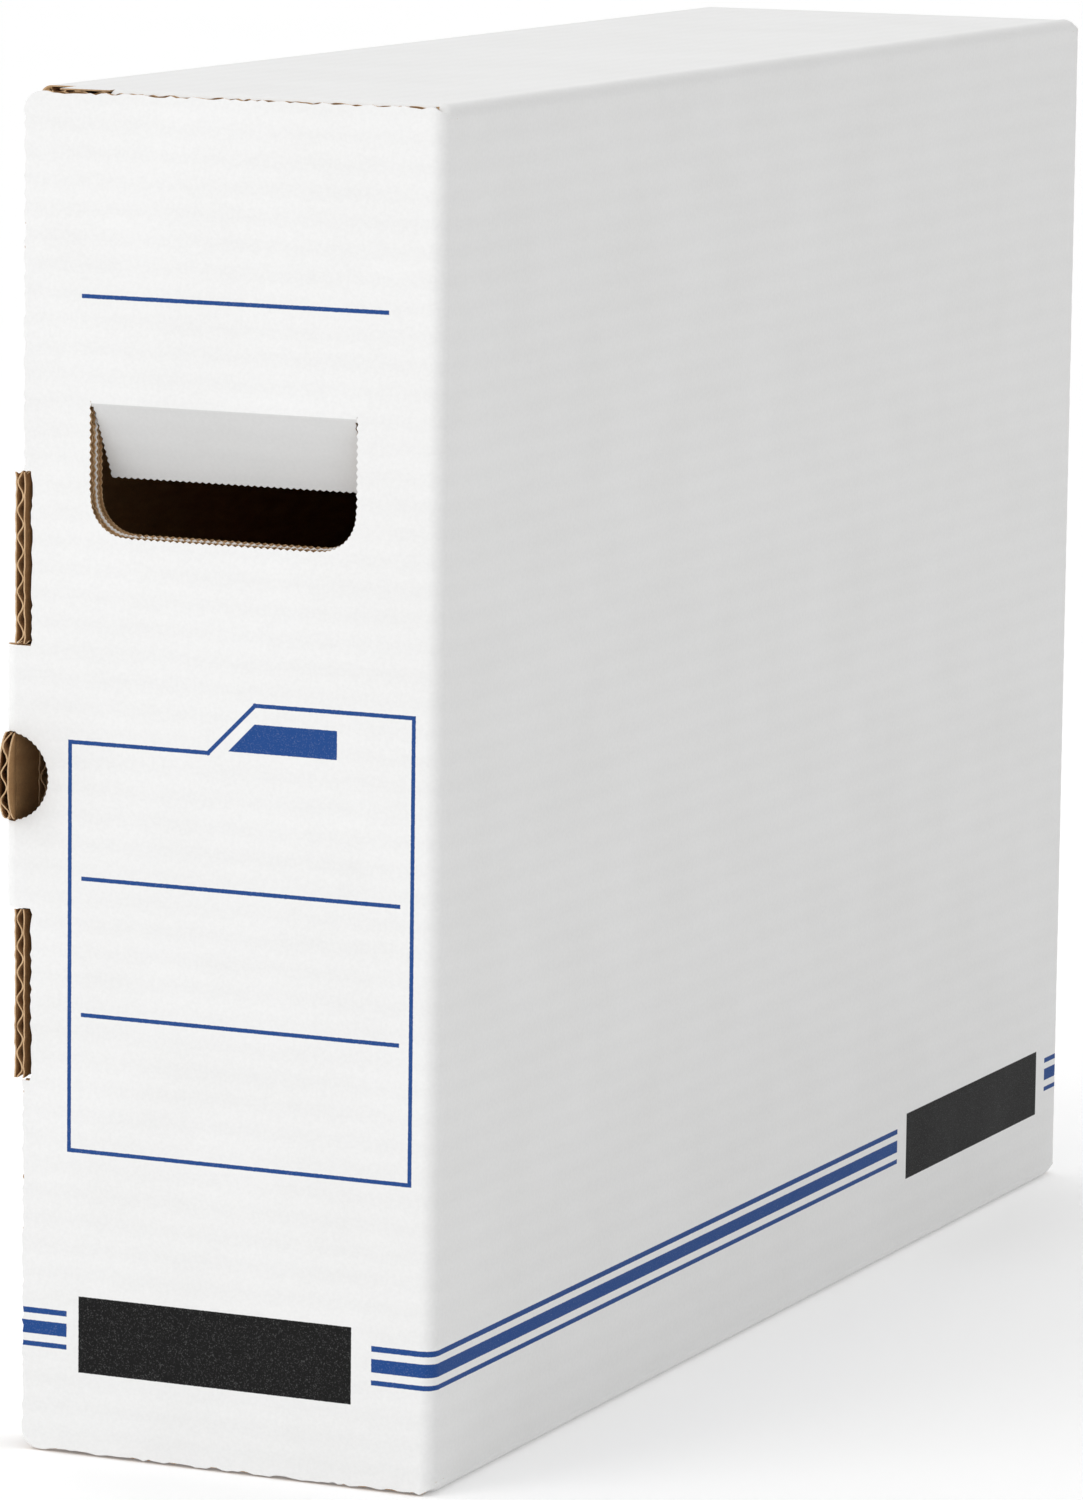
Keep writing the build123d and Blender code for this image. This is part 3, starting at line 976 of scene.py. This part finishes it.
# %% Make the folds that move
moving_crease("crease_front_right", at(RIGHT, FRONT, front_low.z), at(RIGHT, FRONT, front_high.z),
              Y, -X, side_liner, Z, ("carton", "front_flap"), trim=sloped_trim, ends=0)
tab_middle = (tab_low.z + tab_high.z) / 2
for end, low, high in (("lower", tab_low.z, tab_middle - THUMB_RADIUS),
                       ("upper", tab_middle + THUMB_RADIUS, tab_high.z)):
    moving_crease("crease_lock_tab_" + end, at(TAB_FACE, FRONT, low), at(TAB_FACE, FRONT, high),
                  X, Y, side_liner, Z, ("front_flap", "lock_tab"))
inner_left = -39.7 * MM
inner_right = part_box("top_inner_flap")[1].x
moving_crease("crease_top_inner", at(inner_left, inner_front, TOP), at(inner_right, inner_front, TOP),
              Y, -Z, plain_liner, X, ("carton", "top_inner_flap"))
moving_crease("crease_bottom_inner", at(inner_left, inner_front, 0), at(inner_right, inner_front, 0),
              Y, Z, plain_liner, X, ("carton", "bottom_inner_flap"))

# %% [markdown]
# The hand flap's crease is a skin over the back edge that it turns about: from the front face
# above the hole, round the fold, to the flap's own face. It bends with the hand flap. Its upper
# half is as white as the front and its lower half carries the flap's painted shade. It laps only
# a third of a millimetre onto the flap, since more would meet the inner board when it is pushed in.
# %% Crease of the hand flap
flap_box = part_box("handle_flap")
hinge_y, hinge_z = FRONT + BOARD, 311.0 * MM
LAP_ABOVE, LAP_BELOW = 0.8 * MM, 0.34 * MM
PROUD = 0.02 * MM
OVERHANG = 0.7 * MM
FOLD_STEPS = 6
# Faces from this step of the profile on carry the hand flap's painted shade.
GREY_FROM = 4


def hand_profile(shrink):
    """Points of the crease seen from the side, on its outside or, shrunk, on its inside."""
    radius = BOARD + PROUD - shrink
    hinge = Vector((0, hinge_y, hinge_z))
    points = []
    for k in range(FOLD_STEPS + 1):
        spoke = Matrix.Rotation(PUSHED * k / FOLD_STEPS, 3, "X") @ Vector((0, -radius, 0))
        points.append(hinge + spoke)
    down = Matrix.Rotation(PUSHED, 3, "X") @ Vector((0, 0, -LAP_BELOW))
    return [points[0] + Z * LAP_ABOVE] + points + [points[-1] + down]


def hand_crease():
    """The skin, from one side of the hand flap to the other."""
    outside, inside = hand_profile(0), hand_profile(LINER)
    shape = bmesh.new()
    value = shape.verts.layers.float.new("across")
    rings = []
    for x in (flap_box[0].x - OVERHANG, flap_box[1].x + OVERHANG):
        ring = []
        for point in outside + inside[::-1]:
            ring.append(shape.verts.new(point + X * x))
            ring[-1][value] = point.z
        rings.append(ring)
    size = len(rings[0])
    for k in range(size):
        after = (k + 1) % size
        face = shape.faces.new((rings[0][k], rings[0][after], rings[1][after], rings[1][k]))
        face.material_index = 1 if GREY_FROM <= k < len(outside) else 0
    for ring in rings:
        shape.faces.new(ring)
    bmesh.ops.recalc_face_normals(shape, faces=shape.faces)
    mesh = bpy.data.meshes.new("crease_handle")
    shape.to_mesh(mesh)
    shape.free()
    # The second material is the hand flap's liner with painted shade.
    mesh.materials.append(plain_liner)
    mesh.materials.append(shaded_flap_liner)
    piece = piece_of("crease_handle", mesh, None)
    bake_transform(piece, "front_flap", "handle_flap", start=tuple(outside[1]), end=tuple(outside[-2]))
    length = flap_box[1].x - flap_box[0].x + 2 * OVERHANG
    print(f"{piece.name:22s} {length / MM:6.1f} mm long, bends")


hand_crease()

# %% [markdown]
# ## Floor and light
# The carton stands on a plain pale floor that reaches far into the background. The light is soft:
# a white sky does most of the work. It is dimmer towards the right, which shades the carton's
# right side, and one broad lamp at the front left lifts the front a little. The floor glows
# slightly, which keeps the carton's shadow on it faint.
# %% Floor, sky and lamp
bpy.context.scene.view_settings.view_transform = "Standard"
SKY, SKY_SLOPE = 1.05, 0.62
FLOOR_GLOW = 0.13
FLOOR_REACH = 30


def floor_piece():
    """A plain square floor, as wide as the background."""
    mesh = bpy.data.meshes.new("floor")
    r = FLOOR_REACH
    mesh.from_pydata([(-r, -r, 0), (r, -r, 0), (r, r, 0), (-r, r, 0)], [], [(0, 1, 2, 3)])
    floor = bpy.data.objects.new("floor", mesh)
    bpy.context.scene.collection.objects.link(floor)
    made, tree, shader, point = new_material("pale_floor")
    shader.inputs["Roughness"].default_value = 0.7
    shader.inputs["Specular IOR Level"].default_value = 0.1
    shader.inputs["Emission Color"].default_value = (1, 1, 1, 1)
    shader.inputs["Emission Strength"].default_value = FLOOR_GLOW
    mottle = noise(tree, point, 3, 3)
    colour = blend_colour(tree, mottle, (0.93, 0.93, 0.93, 1), (0.95, 0.95, 0.95, 1))
    tree.links.new(colour, shader.inputs["Base Color"])
    mesh.materials.append(made)


def lamp(name, at_point, towards, size, power):
    """A square lamp that looks from one point towards another."""
    light = bpy.data.lights.new(name, "AREA")
    light.shape = "SQUARE"
    light.size = size
    light.energy = power
    made = bpy.data.objects.new(name, light)
    made.location = at_point
    made.rotation_mode = "QUATERNION"
    made.rotation_quaternion = (Vector(towards) - Vector(at_point)).to_track_quat("-Z", "Y")
    bpy.context.scene.collection.objects.link(made)


floor_piece()
world = bpy.data.worlds.new("sky")
world.use_nodes = True
sky = world.node_tree
direction = add(sky, "ShaderNodeTexCoord").outputs["Generated"]
sideways = add(sky, "ShaderNodeSeparateXYZ", {0: direction}).outputs["X"]
strength = calc(sky, "MULTIPLY_ADD", calc(sky, "MAXIMUM", sideways, 0.0), -SKY_SLOPE, SKY)
sky.nodes["Background"].inputs["Color"].default_value = (1, 1, 1, 1)
sky.links.new(strength, sky.nodes["Background"].inputs["Strength"])
bpy.context.scene.world = world
lamp("key", (-0.9, -1.6, 1.5), (0, -0.2, 0.35), 1.0, 7.0)
